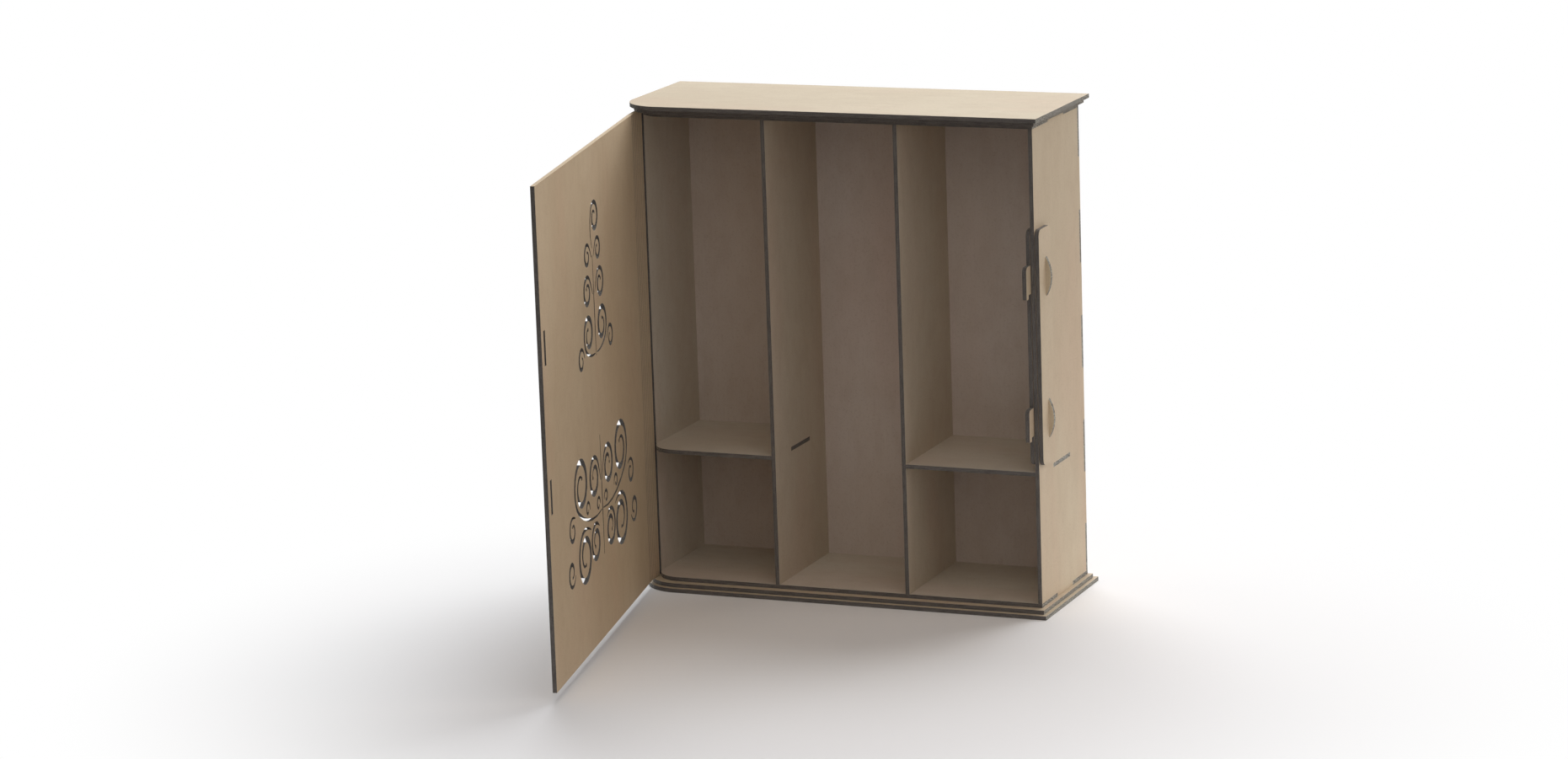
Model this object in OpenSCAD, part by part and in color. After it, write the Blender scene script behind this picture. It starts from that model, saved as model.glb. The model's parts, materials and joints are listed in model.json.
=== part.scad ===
// Wine gift box cut from one thickness of sheet wood: a bay for a bottle, a bay on each
// side for a glass, and a pierced door that bends round the front left corner.

/* [Box] */
// Thickness of every sheet
sheet_t = 3; // [2.6:0.1:3.6]
// Width over the two side walls
box_w = 307; // [285:1:340]
// Depth from the front edges of the walls to the back
box_d = 99.5; // [90:0.5:120]
// Height between the base plates and the roof plates
box_h = 348.5; // [335:0.5:370]
// Underside of the shelves above the floor panel
shelf_rise = 93.2; // [70:0.5:95]
// Corner radius of the floor, top and left shelf at the bending corner
corner_r = 20; // [18:0.5:24]

/* [Base and roof plates] */
// Side overhang of the plate next to the box
near_side = 3.5; // [3.5:0.1:5]
// Front overhang of the plate next to the box
near_front = 6.5; // [5:0.1:8]
// Back overhang of the plate next to the box
near_back = 1.8; // [1:0.1:4]
// Side overhang of the outermost plate
far_side = 6.4; // [5.5:0.1:9]
// Front overhang of the outermost plate
far_front = 10.2; // [8.5:0.1:13]
// Back overhang of the outermost plate
far_back = 5.4; // [4.5:0.1:8]

/* [Tabs] */
// Width of the tabs at the ends of the shelves
shelf_tab = 36; // [20:1:44]
// Width of the tabs that hold the dividers in the floor and top
divider_tab = 20; // [12:1:26]

/* [Door] */
// Gap between the shut door and the front edges of the box
door_gap = 0.8; // [0.5:0.1:1.2]
// Gap over and under the door
door_end_gap = 0.35; // [0.3:0.05:1]
// Reach of the shut door past the right wall
door_reach = 3.9; // [3.4:0.1:6]
// Turn from the wall's line in to the door as it stands
stand_turn = 11.5; // [4:0.25:20]
// Width of one cut between two slats of the bending corner
kerf = 0.3; // [0.25:0.05:0.4]
// Distance from one cut to the next
slat_pitch = 3.2; // [3.05:0.05:3.5]
// Thickness left under the groove beside the wall
groove_web = 1.2; // [1:0.1:1.6]

/* [Latch] */
// Height of the two latch plates
latch_h = 170; // [150:1:190]
// Depth of the two latch plates
latch_d = 25; // [22:0.5:30]
// Middle of the latch plates above the ground
latch_z = 195; // [190:0.5:205]
// Corner radius of the latch plates
latch_r = 5; // [3:0.5:7]
// Clearance of the latch in the wall and beside it
slide_gap = 0.3; // [0.25:0.05:0.4]
// Height that the latch slides down to lock
latch_travel = 3.2; // [2.8:0.1:3.4]
// Distance between the two hooks
hook_pitch = 102.5; // [80:0.5:120]
// Depth of the hooks' middle below that of the latch plates
hook_below = 3.3; // [2:0.1:4]
// Height of one hook above its notch
hook_h = 20.3; // [16:0.1:24]
// Corner radius of a hook
hook_r = 3.5; // [2:0.1:4]
// Length of the finger below the notch
finger_drop = 3; // [2.5:0.1:3.5]
// Thickness of the finger
finger_t = 4.4; // [3.5:0.1:5]
// Play of the shut door in the notch
notch_play = 1.4; // [1:0.1:2]
// Clearance around a hook in its slot in the door
hook_clear = 0.7; // [0.6:0.05:1]
// Depth of the grips' middle below that of the latch plates
grip_below = 1.6; // [0:0.1:3]
// Width of one half moon grip
grip_w = 28; // [24:0.5:32]
// Height of the half moon over the latch plate
grip_out = 3.8; // [3:0.1:6]
// Height of the tab behind one grip
grip_tab = 14; // [10:0.5:18]
// Middle of the grips behind the front edge of the latch plates
grip_y = 14.7; // [13:0.1:16]

/* [Pierced ornament] */
// Width of the ornament, which its height follows
scroll_w = 208; // [198:1:214]
// Distance of its middle line from the bending corner
scroll_mid = 138; // [125:1:145]
// Height of its foot above the ground
scroll_foot = 54; // [50:1:58]
// Width of the widest stroke
stroke_w = 5; // [3:0.1:5.4]
// Width where a stroke starts and ends
stroke_end = 1; // [0.6:0.1:1.2]

/* [Hidden] */
$fn = 96;
// Bare wood, shaded wood and burnt wood
wood = [0.78, 0.68, 0.54];
wood_dark = [0.66, 0.56, 0.43];
burnt = [0.25, 0.22, 0.20];
// Levels of the stack, from the ground up
t = sheet_t;
z_floor = 2 * t;
z_in = 3 * t;
z_lid = z_floor + box_h;
z_top = z_lid - t;
z_shelf = z_in + shelf_rise;
// Inside faces and the two dividers, which part the width in three equal bays
in_w = box_w - 2 * t;
in_d = box_d - t;
bay_w = (in_w - 2 * t) / 3;
div_x = [t + bay_w, 2 * t + 2 * bay_w];
// Finger joints: thirds along the depth, fifths along the width, ninths up the height
third = box_d / 3;
fifth = box_w / 5;
ninth = box_h / 9;
// Bending corner: as it bends from a flat sheet to a right angle, each joint takes an equal share
joints = 9;
share = 90 / joints;
sweep = (1 / tan(share / 2) - 1) / 2;
wall_end = slat_pitch * sweep - door_gap;
stand = stand_turn / joints;
door_len = box_w + door_reach - t - slat_pitch * sweep;
door_z = [z_floor + door_end_gap, z_lid - door_end_gap];
// Joint number k on the inner face of the flat sheet, and of the shut door
function flat_joint(k) = [t, wall_end - (k - 1) * slat_pitch];
function shut_joint(k) = k <= 1 ? flat_joint(1)
  : shut_joint(k - 1) + slat_pitch * [sin((k - 1) * share), -cos((k - 1) * share)];
// Centre that slat k swings about between those two places
function swing(k) =
  let (p = flat_joint(k), q = shut_joint(k), d = (q - p) / (2 * tan(k * share / 2)))
  (p + q) / 2 + [-d[1], d[0]];
// Latch: where its plates stand, and its hooks and grips
hook_x = box_w - t - slide_gap;
cover_x = box_w + slide_gap;
finger_y = -(door_gap + t + notch_play - door_gap / 2);
hook_mid = latch_z - hook_below;
grip_mid = latch_z - grip_below;
hook_all = hook_h + finger_drop;
tip_r = 1;

// The whole box stands with the middle of its walls on the origin
module place() {
  translate([-box_w / 2, -box_d / 2, 0]) children();
}
// Sheet lying flat from height z
module flat(z) {
  translate([0, 0, z]) linear_extrude(t) children();
}
// Sheet standing across the width: drawn as depth and height, and t thick from x
module side(x, thick = t) {
  translate([x, 0, 0]) rotate([90, 0, 90]) linear_extrude(thick) children();
}
// Sheet standing across the depth: drawn as width and height, and t thick from y
module cross(y) {
  translate([0, y + t, 0]) rotate([90, 0, 0]) linear_extrude(t) children();
}
// Rectangle between two corners
module area(a, b) {
  translate(a) square([b[0] - a[0], b[1] - a[1]]);
}
// Rectangle whose front left corner is round
module round_area(a, b, r) {
  difference() {
    area(a, b);
    difference() {
      area([a[0] - 1, a[1] - 1], [a[0] + r, a[1] + r]);
      translate([a[0] + r, a[1] + r]) circle(r);
    }
  }
}
// Rectangle whose four corners are round
module soft_area(a, b, r) {
  difference() {
    area(a, b);
    for (sx = [0, 1], sy = [0, 1])
      translate([sx == 0 ? a[0] : b[0], sy == 0 ? a[1] : b[1]])
        mirror([sx, 0]) mirror([0, sy]) difference() {
          translate([-1, -1]) square(r + 1);
          translate([r, r]) circle(r);
        }
  }
}

module near_plate(z) {
  flat(z) round_area([-near_side, -near_front], [box_w + near_side, box_d + near_back],
    corner_r + near_front);
}
module far_plate(z) {
  flat(z) round_area([-far_side, -far_front], [box_w + far_side, box_d + far_back],
    corner_r + far_front);
}
// Tabs of the dividers in the floor and top, as places along the depth
tab_y = [in_d * 0.25, in_d * 0.75];
// Floor and top: tabs in the outer thirds of the walls and two fifths of the back
module end_panel(z) {
  flat(z) difference() {
    union() {
      round_area([t, 0], [box_w - t, in_d], corner_r);
      area([box_w - t - 1, 0], [box_w, third]);
      area([box_w - t - 1, box_d - third], [box_w, in_d]);
      area([0, corner_r], [t + 1, third]);
      area([0, box_d - third], [t + 1, in_d]);
      for (k = [1, 3]) area([k * fifth, in_d - 1], [(k + 1) * fifth, box_d]);
    }
    for (x = div_x, y = tab_y)
      area([x, y - divider_tab / 2], [x + t, y + divider_tab / 2]);
  }
}
// Fingers of a side wall into the back: every second ninth
module back_fingers() {
  for (k = [1, 3, 5, 7])
    area([in_d - 1, z_floor + k * ninth], [box_d, z_floor + (k + 1) * ninth]);
}
// Slot for the tab of a shelf
module shelf_slot() {
  area([in_d / 2 - shelf_tab / 2, z_shelf], [in_d / 2 + shelf_tab / 2, z_shelf + t]);
}
// Divider between two bays, with tabs below, above and behind
module divider(x) {
  side(x) difference() {
    union() {
      area([0, z_in], [in_d, z_top]);
      for (y = tab_y)
        area([y - divider_tab / 2, z_floor], [y + divider_tab / 2, z_lid]);
      for (k = [2, 6])
        area([in_d - 1, z_floor + k * ninth], [box_d, z_floor + (k + 1) * ninth]);
    }
    shelf_slot();
  }
}
// Shelf from x0 to x1, with a tab at each end and one behind
module shelf_shape(x0, x1, r) {
  union() {
    if (r > 0) round_area([x0, 0], [x1, in_d], r);
    else area([x0, 0], [x1, in_d]);
    area([x0 - t, in_d / 2 - shelf_tab / 2], [x1 + t, in_d / 2 + shelf_tab / 2]);
    area([(x0 + x1 - shelf_tab) / 2, in_d - 1], [(x0 + x1 + shelf_tab) / 2, box_d]);
  }
}
// Sheet after joint k as the door stands: its inner face lies on x = 0 and it runs to -y
module after_joint(k) {
  c = swing(k);
  p = flat_joint(k) - c;
  translate(c) rotate([0, 0, k * stand]) translate(p) children();
}
module slat(k, thick = t) {
  place() after_joint(k) translate([-t, -slat_pitch + kerf / 2, door_z[0]])
    cube([thick, slat_pitch - kerf, door_z[1] - door_z[0]]);
}
// Height of the middle of hook or grip number s, counted down and up from a middle height
function pair_z(mid, s) = mid + s * hook_pitch / 2;

// A scroll is a stroke: a tail that bends a little and a coil that winds in to its eye. It is
// given by its start, its heading there, the tail's length and bend, and the coil's radius, turn
// and the share of the widest stroke. Its lengths count 208ths of the ornament's width
TAIL = 5;
COIL = 32;
STEPS = TAIL + COIL;
unit = scroll_w / 208;
function heading(s, i) = s[1] + s[3] * min(i / TAIL, 1) + s[5] * max((i - TAIL) / COIL, 0);
function coil_radius(s, i) = unit * s[4] * (1 - 0.72 * pow((i - TAIL + 0.5) / COIL, 1.6));
function stride(s, i) =
  i < TAIL ? unit * s[2] / TAIL : coil_radius(s, i) * abs(s[5]) * PI / 180 / COIL;
function stroke_line(s) = [for (
    i = 0, p = unit * s[0];
    i <= STEPS;
    p = p + stride(s, i) * [cos(heading(s, i + 0.5)), sin(heading(s, i + 0.5))], i = i + 1
  ) p];
function half_stroke(s, i) =
  (stroke_end + (s[6] * stroke_w - stroke_end) * pow(sin(180 * i / STEPS), 0.9)) / 2;
function edge(s, line, i, hand) =
  line[i] + hand * half_stroke(s, i) * [-sin(heading(s, i)), cos(heading(s, i))];
module scroll(s) {
  line = stroke_line(s);
  polygon(concat(
    [for (i = [0 : STEPS]) edge(s, line, i, 1)],
    [for (i = [STEPS : -1 : 0]) edge(s, line, i, -1)]));
  translate(line[STEPS]) circle(unit * min(1.5, 0.1 * s[4] + 0.3), $fn = 12);
}
// Stem: a narrow cut, widest at one height
module stem(low, wide, high, w) {
  e = stroke_end / 2;
  polygon([[-e, unit * low], [e, unit * low], [unit * w / 2, unit * wide],
    [e, unit * high], [-e, unit * high], [-unit * w / 2, unit * wide]]);
}
// Right half of the ornament over its foot: the broad part below and the slender one above
SCROLLS = [
  [[2.5, 43], -8, 70, 38, 19, 560, 1],
  [[37, 37], 26, 20, -30, 18.5, -560, 1],
  [[2.5, 64], 72, 14, -10, 14, -530, 0.88],
  [[12, 33.5], 40, 8, -25, 13, -530, 0.85],
  [[81, 56], 22, 8, -20, 8.5, -400, 0.66],
  [[86, 17], -60, 7, 30, 9, 400, 0.66],
  [[37, 51], 75, 3, 0, 5, -340, 0.5],
  [[6, 48], 75, 2, 0, 4.8, -340, 0.5],
  [[2.5, 155], -4, 24, 30, 13, 520, 0.85],
  [[34, 158], 66, 5, -10, 8, -400, 0.64],
  [[3, 197], 62, 13, -10, 10.5, -480, 0.74],
  [[3, 223], 60, 10, -10, 8, -420, 0.64]];
// The single scroll at the tip
CROWN = [[0, 229], 60, 27, 60, 10.5, 470, 0.78];
module ornament() {
  for (m = [0, 1]) mirror([m, 0]) {
    for (s = SCROLLS) scroll(s);
  }
  scroll(CROWN);
  stem(10, 46, 96, 2.4);
  stem(153, 181, 224, 2.2);
}

module lower_base_plate() {
  color(wood_dark) place() far_plate(0);
}
module upper_base_plate() {
  color(wood_dark) place() near_plate(t);
}
module floor_panel() {
  color(wood) place() end_panel(z_floor);
}
module top_panel() {
  color(wood) place() end_panel(z_top);
}
module lower_roof_plate() {
  color(wood_dark) place() near_plate(z_lid);
}
module upper_roof_plate() {
  color(wood) place() far_plate(z_lid + t);
}
module left_wall() {
  color(wood) place() side(0) difference() {
    union() {
      area([wall_end + kerf / 2, z_in], [in_d, z_top]);
      area([wall_end + kerf / 2, z_floor], [corner_r, z_lid]);
      area([third, z_floor], [box_d - third, z_lid]);
      back_fingers();
    }
    shelf_slot();
  }
}
module right_wall() {
  color(wood) place() side(box_w - t) difference() {
    union() {
      area([0, z_in], [in_d, z_top]);
      area([third, z_floor], [box_d - third, z_lid]);
      back_fingers();
    }
    shelf_slot();
    for (s = [-1, 1])
      area([grip_y - t / 2 - slide_gap, pair_z(grip_mid, s) - grip_tab / 2 - latch_travel - slide_gap],
        [grip_y + t / 2 + slide_gap, pair_z(grip_mid, s) + grip_tab / 2 + slide_gap]);
  }
}
module back_panel() {
  color(wood_dark) place() cross(in_d) difference() {
    area([0, z_floor], [box_w, z_lid]);
    for (k = [1, 3, 5, 7]) {
      area([-1, z_floor + k * ninth], [t, z_floor + (k + 1) * ninth]);
      area([box_w - t, z_floor + k * ninth], [box_w + 1, z_floor + (k + 1) * ninth]);
    }
    for (k = [1, 3]) {
      area([k * fifth, z_floor - 1], [(k + 1) * fifth, z_in]);
      area([k * fifth, z_top], [(k + 1) * fifth, z_lid + 1]);
    }
    for (k = [2, 6], x = div_x)
      area([x, z_floor + k * ninth], [x + t, z_floor + (k + 1) * ninth]);
    for (x = [t + bay_w / 2, box_w - t - bay_w / 2])
      area([x - shelf_tab / 2, z_shelf], [x + shelf_tab / 2, z_shelf + t]);
  }
}
module left_divider() {
  color(wood) place() divider(div_x[0]);
}
module right_divider() {
  color(wood) place() divider(div_x[1]);
}
module left_shelf() {
  color(wood) place() flat(z_shelf) shelf_shape(t, div_x[0], corner_r);
}
module right_shelf() {
  color(wood) place() flat(z_shelf) shelf_shape(div_x[1] + t, box_w - t, 0);
}
module hinge_slat_1() {
  color(burnt) slat(1, groove_web);
}
module hinge_slat_2() {
  color(wood) slat(2);
}
module hinge_slat_3() {
  color(wood) slat(3);
}
module hinge_slat_4() {
  color(wood) slat(4);
}
module hinge_slat_5() {
  color(wood) slat(5);
}
module hinge_slat_6() {
  color(wood) slat(6);
}
module hinge_slat_7() {
  color(wood) slat(7);
}
module hinge_slat_8() {
  color(wood) slat(8);
}
// Door drawn from the bending corner outwards and up, with its hook slots and ornament
module door_panel() {
  slot_u = door_len - (door_reach + t + slide_gap + t / 2);
  color(wood) place() after_joint(joints) rotate([90, 0, -90]) linear_extrude(t) difference() {
    area([kerf / 2, door_z[0]], [door_len, door_z[1]]);
    for (s = [-1, 1])
      area([slot_u - t / 2 - hook_clear, pair_z(hook_mid, s) - hook_all / 2 - hook_clear / 2],
        [slot_u + t / 2 + hook_clear, pair_z(hook_mid, s) + hook_all / 2 + hook_clear / 2]);
    translate([scroll_mid, scroll_foot]) ornament();
  }
}
// Latch plate inside the wall: its hooks reach through the door and drop behind it
module latch_hook_plate() {
  front = finger_y - finger_t;
  root = latch_r + hook_r;
  color(wood_dark) place() side(hook_x - t) difference() {
    union() {
      soft_area([0, latch_z - latch_h / 2], [latch_d, latch_z + latch_h / 2], latch_r);
      for (s = [-1, 1]) {
        z = pair_z(hook_mid, s);
        top = z + hook_all / 2;
        soft_area([front, top - hook_h], [root, top], hook_r);
        area([0, top - hook_h], [root, top]);
        area([front, top - hook_h], [finger_y, top - hook_r]);
        soft_area([front, z - hook_all / 2], [finger_y, top - hook_h + hook_r], tip_r);
      }
    }
    for (s = [-1, 1])
      area([grip_y - t / 2, pair_z(grip_mid, s) - grip_tab / 2],
        [grip_y + t / 2, pair_z(grip_mid, s) + grip_tab / 2]);
  }
}
module latch_outer_plate() {
  color(wood_dark) place() side(cover_x) difference() {
    soft_area([0, latch_z - latch_h / 2], [latch_d, latch_z + latch_h / 2], latch_r);
    for (s = [-1, 1])
      area([grip_y - t / 2, pair_z(grip_mid, s) - grip_tab / 2],
        [grip_y + t / 2, pair_z(grip_mid, s) + grip_tab / 2]);
  }
}
// Half moon grip with the tab that ties the two plates through the wall
module grip(s) {
  r = (grip_w * grip_w / 4 + grip_out * grip_out) / (2 * grip_out);
  out_x = cover_x + t;
  place() translate([0, 0, pair_z(grip_mid, s)]) cross(grip_y - t / 2) union() {
    area([hook_x - t, -grip_tab / 2], [out_x + 1, grip_tab / 2]);
    intersection() {
      translate([out_x + grip_out - r, 0]) circle(r);
      area([out_x, -grip_w], [out_x + 2 * grip_out, grip_w]);
    }
  }
}
module upper_latch_grip() {
  color(wood) grip(1);
}
module lower_latch_grip() {
  color(wood) grip(-1);
}

lower_base_plate();
upper_base_plate();
floor_panel();
top_panel();
lower_roof_plate();
upper_roof_plate();
left_wall();
right_wall();
back_panel();
left_divider();
right_divider();
left_shelf();
right_shelf();
hinge_slat_1();
hinge_slat_2();
hinge_slat_3();
hinge_slat_4();
hinge_slat_5();
hinge_slat_6();
hinge_slat_7();
hinge_slat_8();
door_panel();
latch_hook_plate();
latch_outer_plate();
upper_latch_grip();
lower_latch_grip();
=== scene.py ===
import json
import math

import bpy
from mathutils import Matrix, Vector


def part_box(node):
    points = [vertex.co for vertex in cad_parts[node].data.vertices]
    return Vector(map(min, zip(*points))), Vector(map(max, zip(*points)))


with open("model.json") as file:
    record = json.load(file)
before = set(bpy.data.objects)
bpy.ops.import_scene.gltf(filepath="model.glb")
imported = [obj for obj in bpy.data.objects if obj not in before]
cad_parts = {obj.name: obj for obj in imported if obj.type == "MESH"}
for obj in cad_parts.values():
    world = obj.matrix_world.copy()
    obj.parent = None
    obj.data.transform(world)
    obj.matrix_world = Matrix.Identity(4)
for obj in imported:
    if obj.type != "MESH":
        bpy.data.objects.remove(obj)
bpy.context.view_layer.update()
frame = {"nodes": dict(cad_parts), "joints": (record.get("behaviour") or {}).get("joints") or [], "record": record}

NODES = frame["nodes"]
BODIES = frame["record"]["behaviour"]["bodies"]
JOINTS = {j["name"]: j for j in frame["joints"]}
MM = 0.001

# ------------------------------------------------------------------ sheets
# Which way the face of each sheet looks, and which way its grain runs
LATCH_PLATES = BODIES["latch"][:2]
GRIPS = BODIES["latch"][2:]
FLAT = ("lower_base_plate", "upper_base_plate", "floor_panel", "top_panel",
        "lower_roof_plate", "upper_roof_plate", "left_shelf", "right_shelf")
UPRIGHT = ("left_wall", "right_wall", "left_divider", "right_divider", *LATCH_PLATES)
ACROSS = ("back_panel", *GRIPS)
X_WAY = Vector((1, 0, 0))
Y_WAY = Vector((0, 1, 0))
Z_WAY = Vector((0, 0, 1))


def turned(joint):
    """The angle that a slat or the door stands at, away from the flat sheet."""
    return math.radians(-JOINTS[joint]["range_deg"][0])


def sheet_face(node):
    """(normal of the sheet's face, direction of its grain)"""
    if node in FLAT:
        return Z_WAY, X_WAY
    if node in UPRIGHT:
        return X_WAY, Z_WAY
    if node in ACROSS:
        return Y_WAY, Z_WAY
    slat = node.replace("hinge_slat_", "slat_")
    angle = turned("door_swing" if node == "door_panel" else slat + "_bend")
    return Vector((math.cos(angle), math.sin(angle), 0)), Z_WAY


# ------------------------------------------------------------------ colours
def srgb(r, g, b):
    """A colour of 0 to 255 as the linear one that shaders take."""
    def one(v):
        v /= 255
        return v / 12.92 if v <= 0.04045 else ((v + 0.055) / 1.055) ** 2.4
    return (one(r), one(g), one(b), 1)


WHITE = (1, 1, 1, 1)
WOOD_LIGHT = srgb(210, 196, 171)
WOOD_MID = srgb(202, 186, 160)
WOOD_DEEP = srgb(187, 167, 141)
PORE = srgb(150, 124, 98)
BLUSH = srgb(210, 180, 157)
CHAR_DARK = srgb(84, 80, 78)
CHAR_MID = srgb(104, 99, 96)
# pale grains: real ash on every edge, and a painted highlight on edges that look sideways or upwards
ASH_AND_HIGHLIGHT = srgb(212, 213, 203)
RAW_EDGE = srgb(206, 188, 160)
RAW_PLY = srgb(192, 171, 142)
PAPER = srgb(247, 247, 248)
PAPER_FAR = srgb(93, 92, 94)


class Graph:
    """A short way to write a node tree."""

    def __init__(self, tree):
        self.tree = tree
        tree.nodes.clear()

    def add(self, kind, inputs=(), **settings):
        node = self.tree.nodes.new(kind)
        for key, value in settings.items():
            setattr(node, key, value)
        for key, value in dict(inputs).items():
            self.put(node.inputs[key], value)
        return node

    def put(self, socket, value):
        if isinstance(value, bpy.types.NodeSocket):
            self.tree.links.new(value, socket)
        else:
            socket.default_value = value

    def math(self, operation, a, b=0.0):
        return self.add("ShaderNodeMath", {0: a, 1: b}, operation=operation).outputs[0]

    def dot(self, a, b):
        node = self.add("ShaderNodeVectorMath", {0: a, 1: tuple(b)}, operation="DOT_PRODUCT")
        return node.outputs["Value"]

    def distance(self, a, b):
        node = self.add("ShaderNodeVectorMath", {0: a, 1: b}, operation="DISTANCE")
        return node.outputs["Value"]

    def ramp(self, value, low, high, most=1.0):
        """0 at low and before it, most at high and past it, smooth between."""
        node = self.add("ShaderNodeMapRange", {0: value, 1: low, 2: high},
                        interpolation_type="SMOOTHSTEP")
        if most == 1.0:
            return node.outputs[0]
        return self.math("MULTIPLY", node.outputs[0], most)

    def mix(self, factor, a, b, how="MIX"):
        node = self.add("ShaderNodeMix", {"Factor": factor, 6: a, 7: b},
                        data_type="RGBA", blend_type=how)
        return node.outputs[2]

    def noise(self, vector, scale, detail, roughness):
        node = self.add("ShaderNodeTexNoise", {"Vector": vector, "Scale": scale,
                                               "Detail": detail, "Roughness": roughness})
        return node.outputs["Fac"]

    def seen_at_once(self):
        """1 for a ray from the eye, off a shiny surface or through a clear one, 0 for the rest."""
        rays = self.add("ShaderNodeLightPath").outputs
        shown = self.math("MAXIMUM", rays["Is Camera Ray"], rays["Is Glossy Ray"])
        return self.math("MAXIMUM", shown, rays["Is Transmission Ray"])

    def blend(self, factor, first, second):
        """The first shader where factor is 0, and the second where it is 1."""
        return self.add("ShaderNodeMixShader",
                        {0: factor, 1: first.outputs[0], 2: second.outputs[0]})

    def output(self, kind, shader):
        """Sends a shader to the output node of that kind."""
        self.add(kind, {"Surface": shader.outputs[0]})


def new_material(name):
    material = bpy.data.materials.new(name)
    material.use_nodes = True
    return material, Graph(material.node_tree)


# ------------------------------------------------------------------ plywood
# A surface whose normal has more than this share along a direction counts as facing it
FACING = 0.7
# Thickness of two plies
PLY_PAIR = 1.0 * MM
# Roughness of a face, what its fibre adds, and roughness of a burnt edge
FACE_ROUGH = 0.50
FIBRE_ROUGH = 0.16
EDGE_ROUGH = 0.82
SPECULAR_LEVEL = 0.35
# Height and strength of the surface's relief
RELIEF = 0.2 * MM
RELIEF_STRENGTH = 0.22
# Painted highlight: how much an edge that looks out sideways or upwards is lightened with pale grains, where the
# light falls on it
PAINTED_HIGHLIGHT_SIDEWAYS = (0.85, 0, 0)
PAINTED_HIGHLIGHT_UPWARDS = (0, 0, 0.45)
# Distance off the box's middle line at which that painted highlight starts, and is full
PAINTED_HIGHLIGHT_STARTS, PAINTED_HIGHLIGHT_FULL = 0.10, 0.13
# Share of pale grains that the painted highlight gives there, and the share of real ash that lies on every edge
PAINTED_HIGHLIGHT_MOST = 0.66
ASH_LEAST = 0.05
# Shift of the grain from one seed to the next
SEED_STEP = 3.7


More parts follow.
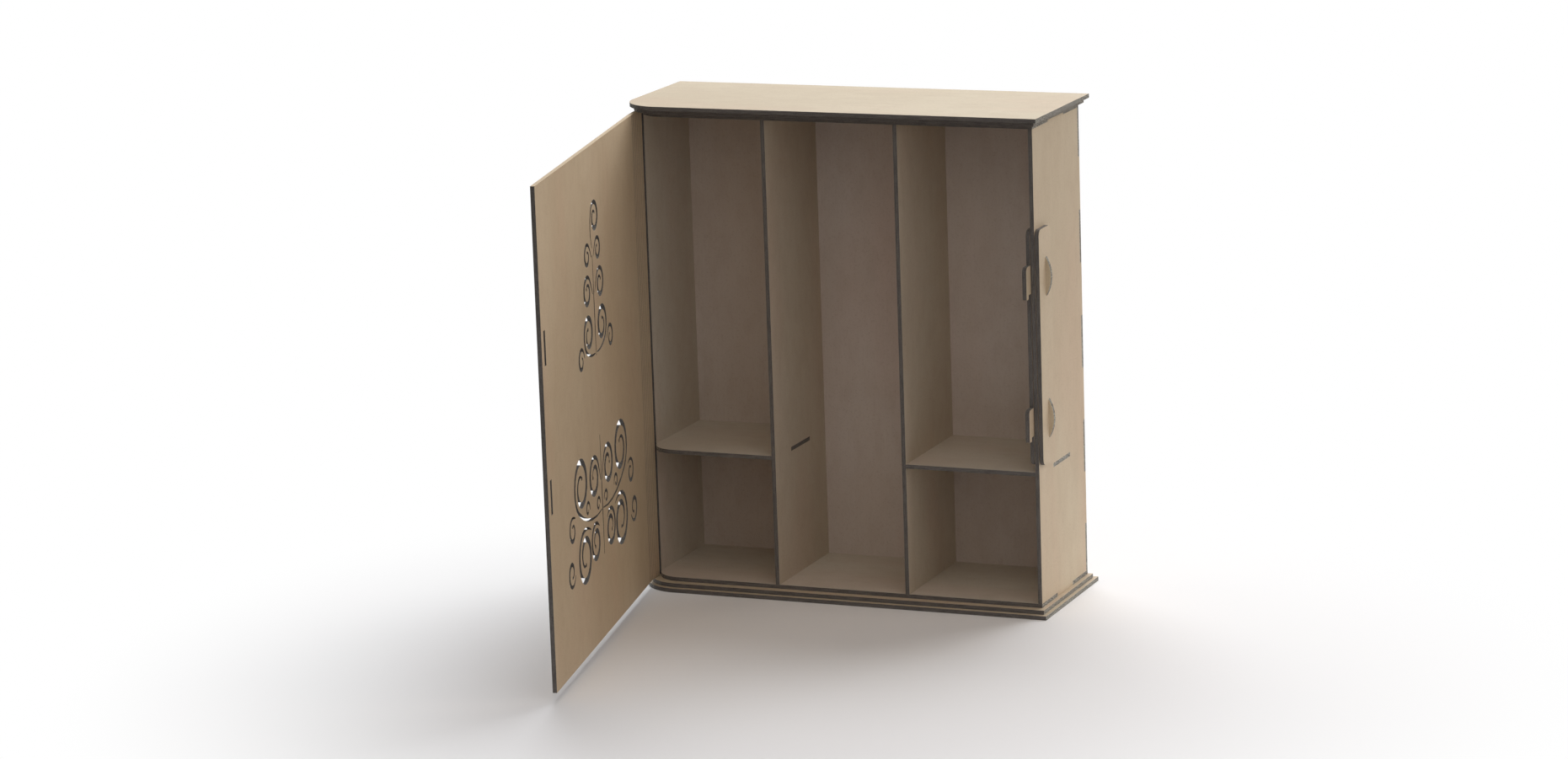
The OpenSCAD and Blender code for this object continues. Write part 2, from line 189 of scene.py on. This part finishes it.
def plywood(name, normal, grain, seed, tint=None, inside=None, raw_above=None):
    """Pale veneer on the two faces of a sheet, and laser-burnt plies on its cut edges.
    tint multiplies the veneer's colours. inside is (direction, tint) of the face that looks into
    the box, whose tint is painted shade: the colour of the shade inside the box. raw_above is the height from
    which an upward edge is the sheet's own pale sawn edge."""
    material, g = new_material(name)
    where = g.add("ShaderNodeTexCoord")
    place = where.outputs["Object"]
    look = where.outputs["Normal"]
    along = g.dot(place, grain)
    across = g.dot(place, grain.cross(normal))
    depth = g.dot(place, normal)

    def streaks(length, width, shift, detail, roughness=0.55, thick=20):
        """Noise whose cells have that size in millimetres, drawn out along the grain. shift
        keeps it apart from the others."""
        node = g.add("ShaderNodeCombineXYZ", {
            0: g.math("DIVIDE", along, length * MM),
            1: g.math("DIVIDE", across, width * MM),
            2: g.math("ADD", g.math("DIVIDE", depth, thick * MM), seed * SEED_STEP + shift)})
        return g.noise(node.outputs[0], 1.0, detail, roughness)

    # veneer: slow cloudy tone, long figure, fine fibre and short dark pores
    cloud = streaks(160, 70, 0, 3)
    mottle = streaks(18, 10, 5, 4, 0.6)
    figure = streaks(300, 22, 11, 4)
    fibre = streaks(30, 0.9, 23, 3, 0.7)
    pores = streaks(4.2, 0.42, 31, 2, 0.5)
    blush = streaks(240, 60, 43, 2)
    specks = g.noise(place, 800, 3, 0.65)
    veneer = g.mix(g.ramp(cloud, 0.30, 0.70), WOOD_MID, WOOD_LIGHT)
    # each pattern with where it starts, where it is full, its share there and its colour
    for pattern, low, high, most, colour in (
            (figure, 0.46, 0.74, 0.11, WOOD_DEEP), (blush, 0.45, 0.75, 0.34, BLUSH),
            (mottle, 0.42, 0.70, 0.22, WOOD_DEEP), (fibre, 0.42, 0.72, 0.12, WOOD_DEEP),
            (pores, 0.68, 0.80, 0.13, PORE), (specks, 0.50, 0.72, 0.20, PORE)):
        veneer = g.mix(g.ramp(pattern, low, high, most), veneer, colour)
    # for the inside sheets and the roof's top plate this tint is painted shade
    if tint:
        veneer = g.mix(1.0, veneer, (*tint, 1), "MULTIPLY")
    # painted shade: the face that looks into the box takes the colour of the shade inside it
    if inside:
        inward, inner_shade_tint = inside
        inward = g.math("GREATER_THAN", g.dot(look, inward), FACING)
        veneer = g.mix(inward, veneer, (*inner_shade_tint, 1), "MULTIPLY")

    # burnt edge: charred plies across the thickness, and grains of pale ash; outer edges that look sideways or
    # upwards get more pale grains as a painted highlight
    ply = g.math("SINE", g.math("MULTIPLY", depth, 2 * math.pi / PLY_PAIR))
    soot = streaks(9, 9, 61, 3, 0.6, thick=0.7)
    grains = g.noise(place, 1350, 2, 0.7)
    char = g.mix(g.ramp(soot, 0.38, 0.62), CHAR_DARK, CHAR_MID)
    char = g.mix(g.ramp(ply, 0.1, 0.9, 0.30), char, CHAR_DARK)
    # painted highlight: more pale grains on outer edges that look sideways or upwards, where the light falls
    painted_highlight = g.math("ADD", g.math("ABSOLUTE", g.dot(look, PAINTED_HIGHLIGHT_SIDEWAYS)), g.dot(look, PAINTED_HIGHLIGHT_UPWARDS))
    highlight_outer = g.ramp(g.math("ABSOLUTE", g.dot(place, X_WAY)), PAINTED_HIGHLIGHT_STARTS, PAINTED_HIGHLIGHT_FULL)
    painted_highlight = g.math("MULTIPLY", g.ramp(painted_highlight, 0.25, 0.85), highlight_outer)
    ash_and_highlight = g.math("ADD", g.math("MULTIPLY", painted_highlight, PAINTED_HIGHLIGHT_MOST), ASH_LEAST)
    char = g.mix(g.math("MULTIPLY", g.ramp(grains, 0.46, 0.58), ash_and_highlight), char, ASH_AND_HIGHLIGHT)

    is_face = g.math("GREATER_THAN", g.math("ABSOLUTE", g.dot(look, normal)), FACING)
    colour = g.mix(is_face, char, veneer)
    if raw_above is not None:
        upward = g.math("GREATER_THAN", g.dot(look, Z_WAY), FACING)
        high = g.math("GREATER_THAN", g.dot(place, Z_WAY), raw_above)
        sawn = g.mix(g.ramp(ply, -0.2, 0.6), RAW_EDGE, RAW_PLY)
        colour = g.mix(g.math("MULTIPLY", upward, high), colour, sawn)

    rough = g.math("ADD", g.math("MULTIPLY", fibre, FIBRE_ROUGH), FACE_ROUGH)
    smoother = g.math("MULTIPLY", is_face, g.math("SUBTRACT", rough, EDGE_ROUGH))
    rough = g.math("ADD", smoother, EDGE_ROUGH)
    # relief: raised fibre, sunk pores and the fine marks of the beam
    marks = streaks(0.35, 0.35, 53, 2)
    tooth = g.math("ADD", g.math("MULTIPLY", fibre, 0.6), g.math("MULTIPLY", pores, -0.5))
    tooth = g.math("ADD", tooth, g.math("MULTIPLY", marks, 0.5))
    relief = g.add("ShaderNodeBump",
                   {"Height": tooth, "Strength": RELIEF_STRENGTH, "Distance": RELIEF})
    wood = g.add("ShaderNodeBsdfPrincipled", {"Base Color": colour, "Roughness": rough,
                                              "Specular IOR Level": SPECULAR_LEVEL,
                                              "Normal": relief.outputs[0]})
    g.output("ShaderNodeOutputMaterial", wood)
    return material


# Each sheet's veneer is multiplied by a tint. The tints of the shelves, the floor and top panels, the dividers
# and the inner faces of the left wall and back are painted shade: they give those sheets the cooler colour of the
# shade inside the box.
# The tint of the upper roof plate is painted shade that darkens the roof's top.
# The door and its slats are made darker and warmer, and the base plates and the hook plate a little darker.
PAINTED_SHADE_GREYER = (0.94, 1.00, 1.14)
PAINTED_SHADE_ROSIER = (0.93, 0.95, 1.15)
PAINTED_SHADE_COOLER = (0.91, 0.93, 1.00)
WARMER = (0.92, 0.865, 0.81)
# painted shade: makes the roof's top plate darker than the other sheets
PAINTED_SHADE_DULLER = (0.86, 0.85, 0.81)
BROWNER = (0.90, 0.89, 0.89)
TINTS = {"lower_base_plate": BROWNER, "upper_base_plate": BROWNER, "latch_hook_plate": BROWNER,
         "left_divider": PAINTED_SHADE_COOLER, "right_divider": PAINTED_SHADE_COOLER, "left_shelf": PAINTED_SHADE_GREYER,
         "right_shelf": PAINTED_SHADE_GREYER, "floor_panel": PAINTED_SHADE_GREYER, "top_panel": PAINTED_SHADE_GREYER,
         "upper_roof_plate": PAINTED_SHADE_DULLER}
# Painted shade: the face of these walls that looks into the box gets the colour of the shade inside it
INSIDE_SHADE_TINTS = {"left_wall": PAINTED_SHADE_GREYER, "back_panel": PAINTED_SHADE_ROSIER}
BOX_MIDDLE = (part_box("floor_panel")[0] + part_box("top_panel")[1]) / 2
# The slats are cut from the door's own sheet, whose top edge is sawn
DOOR_SEED = 7
SAWN_DEPTH = 0.4 * MM
SAWN_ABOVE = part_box("door_panel")[1].z - SAWN_DEPTH


def inner_shade_face(node, normal):
    """(direction, tint) of the face that looks into the box, for a wall whose inner face gets a painted shade tint
    """
    if node not in INSIDE_SHADE_TINTS:
        return None
    low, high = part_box(node)
    outside = (BOX_MIDDLE - (low + high) / 2).dot(normal) < 0
    return (-normal if outside else normal), INSIDE_SHADE_TINTS[node]


for number, (node, solid) in enumerate(sorted(NODES.items())):
    normal, grain = sheet_face(node)
    if node == "door_panel" or node.startswith("hinge_slat"):
        wood = plywood("plywood_" + node, normal, grain, DOOR_SEED, WARMER, raw_above=SAWN_ABOVE)
    else:
        wood = plywood("plywood_" + node, normal, grain, number, TINTS.get(node),
                       inner_shade_face(node, normal))
    for slot in solid.material_slots:
        slot.material = wood

# ------------------------------------------------------------------ floor and light
FLOOR_HALF = 15.0
# Middle of the shade that the box and its open door throw on the floor
SHADE_MIDDLE = (0.06, -0.22, 0.0)
# The floor fades to plain white between these distances from there
FADE_STARTS, FADE_FULL = 0.19, 0.54
# Beyond the first distance from the box it throws back little light, and short of the second all
DULL_FROM, BRIGHT_TO = 0.9, 0.3


def floor_finish():
    """White paper that keeps the object's shadow and fades to plain white away from it.
    Its far part throws back little light, so that the inside of the box stays in shade."""
    material, g = new_material("floor_paper")
    place = g.add("ShaderNodeTexCoord").outputs["Object"]
    seen = g.seen_at_once()
    near = g.ramp(g.distance(place, (0, 0, 0)), DULL_FROM, BRIGHT_TO)
    colour = g.mix(g.math("MAXIMUM", seen, near), PAPER_FAR, PAPER)
    paper = g.add("ShaderNodeBsdfDiffuse", {"Color": colour})
    white = g.add("ShaderNodeEmission", {"Color": WHITE, "Strength": 1.0})
    beyond = g.ramp(g.distance(place, SHADE_MIDDLE), FADE_STARTS, FADE_FULL)
    g.output("ShaderNodeOutputMaterial", g.blend(g.math("MULTIPLY", beyond, seen), paper, white))
    return material


corners = [(x * FLOOR_HALF, y * FLOOR_HALF, 0) for x, y in ((-1, -1), (1, -1), (1, 1), (-1, 1))]
mesh = bpy.data.meshes.new("floor")
mesh.from_pydata(corners, [], [(0, 1, 2, 3)])
floor = bpy.data.objects.new("floor", mesh)
bpy.context.scene.collection.objects.link(floor)
floor.data.materials.append(floor_finish())

# The sky is as strong as low up to the first of these heights and as high from the second
SKY_LOW, SKY_HIGH = 0.05, 0.75


def sky(low, high, colour):
    """Soft light of strength low at the horizon and high overhead. It is seen as white."""
    world = bpy.data.worlds.new("studio")
    world.use_nodes = True
    g = Graph(world.node_tree)
    upward = g.add("ShaderNodeSeparateXYZ", {0: g.add("ShaderNodeTexCoord").outputs["Generated"]})
    climb = g.add("ShaderNodeMapRange",
                  {0: upward.outputs["Z"], 1: SKY_LOW, 2: SKY_HIGH, 3: low, 4: high})
    soft = g.add("ShaderNodeBackground", {"Color": (*colour, 1), "Strength": climb.outputs[0]})
    white = g.add("ShaderNodeBackground", {"Color": WHITE})
    g.output("ShaderNodeOutputWorld", g.blend(g.seen_at_once(), soft, white))
    bpy.context.scene.world = world


def lamp(name, place, aim, size, watts, colour):
    data = bpy.data.lights.new(name, "AREA")
    data.shape = "DISK"
    data.size = size
    data.energy = watts
    data.color = colour
    light = bpy.data.objects.new(name, data)
    light.location = place
    light.rotation_mode = "QUATERNION"
    light.rotation_quaternion = (Vector(aim) - Vector(place)).to_track_quat("-Z", "Y")
    light.visible_camera = False
    bpy.context.scene.collection.objects.link(light)


MIDDLE = (0.0, -0.05, 0.18)
ROOF_SIDE = (0.0, -0.05, 0.35)
# The light comes from above and behind, so the box throws its shade forward over the floor
sky(low=0.075, high=0.16, colour=(1.0, 0.97, 0.98))
lamp("overhead_behind", (-0.26, 1.6, 2.34), MIDDLE, size=2.5, watts=63.5, colour=(0.98, 1.0, 1.03))
lamp("right_behind", (1.3, 2.0, 1.25), MIDDLE, size=1.2, watts=18, colour=(1.0, 0.98, 0.96))
lamp("right_low", (2.4, 0.2, 1.0), ROOF_SIDE, size=1.2, watts=9.5, colour=(1.0, 0.84, 0.70))
lamp("front_high", (0.9, -1.6, 1.8), MIDDLE, size=3.4, watts=19, colour=(1.0, 0.93, 0.86))

# ------------------------------------------------------------------ camera
# Found from the photograph: where it looks from, its tilt, and its lens in pixels
PHOTO_WIDTH = 1861
FOCAL_PIXELS = 5633.062
AZIMUTH, ELEVATION, TILT = (math.radians(v) for v in (22.852, 12.318, -1.936))
# The point it turns about and its distance, in millimetres from the foot of the left wall's front
LOOKED_AT = Vector((745.284, -1499.718, 518.041))
DISTANCE = 1756.616
LEFT_FRONT_FOOT = Vector((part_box("left_wall")[0].x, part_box("floor_panel")[0].y, 0)) / MM
SENSOR_WIDTH = 36
FARTHEST_SEEN = 100

back = Vector((math.sin(AZIMUTH) * math.cos(ELEVATION),
               -math.cos(AZIMUTH) * math.cos(ELEVATION), math.sin(ELEVATION)))
right = Z_WAY.cross(back).normalized()
up = back.cross(right)
tilted_right = math.cos(TILT) * right + math.sin(TILT) * up
tilted_up = math.cos(TILT) * up - math.sin(TILT) * right
camera = bpy.data.objects.new("camera", bpy.data.cameras.new("camera"))
camera.data.sensor_fit = "HORIZONTAL"
camera.data.sensor_width = SENSOR_WIDTH
camera.data.lens = FOCAL_PIXELS / PHOTO_WIDTH * SENSOR_WIDTH
camera.data.clip_end = FARTHEST_SEEN
axes = Matrix((tilted_right, tilted_up, back)).transposed().to_4x4()
axes.translation = (LEFT_FRONT_FOOT + LOOKED_AT + back * DISTANCE) * MM
camera.matrix_world = axes
bpy.context.scene.collection.objects.link(camera)
bpy.context.scene.camera = camera
bpy.context.scene.view_settings.view_transform = "Standard"
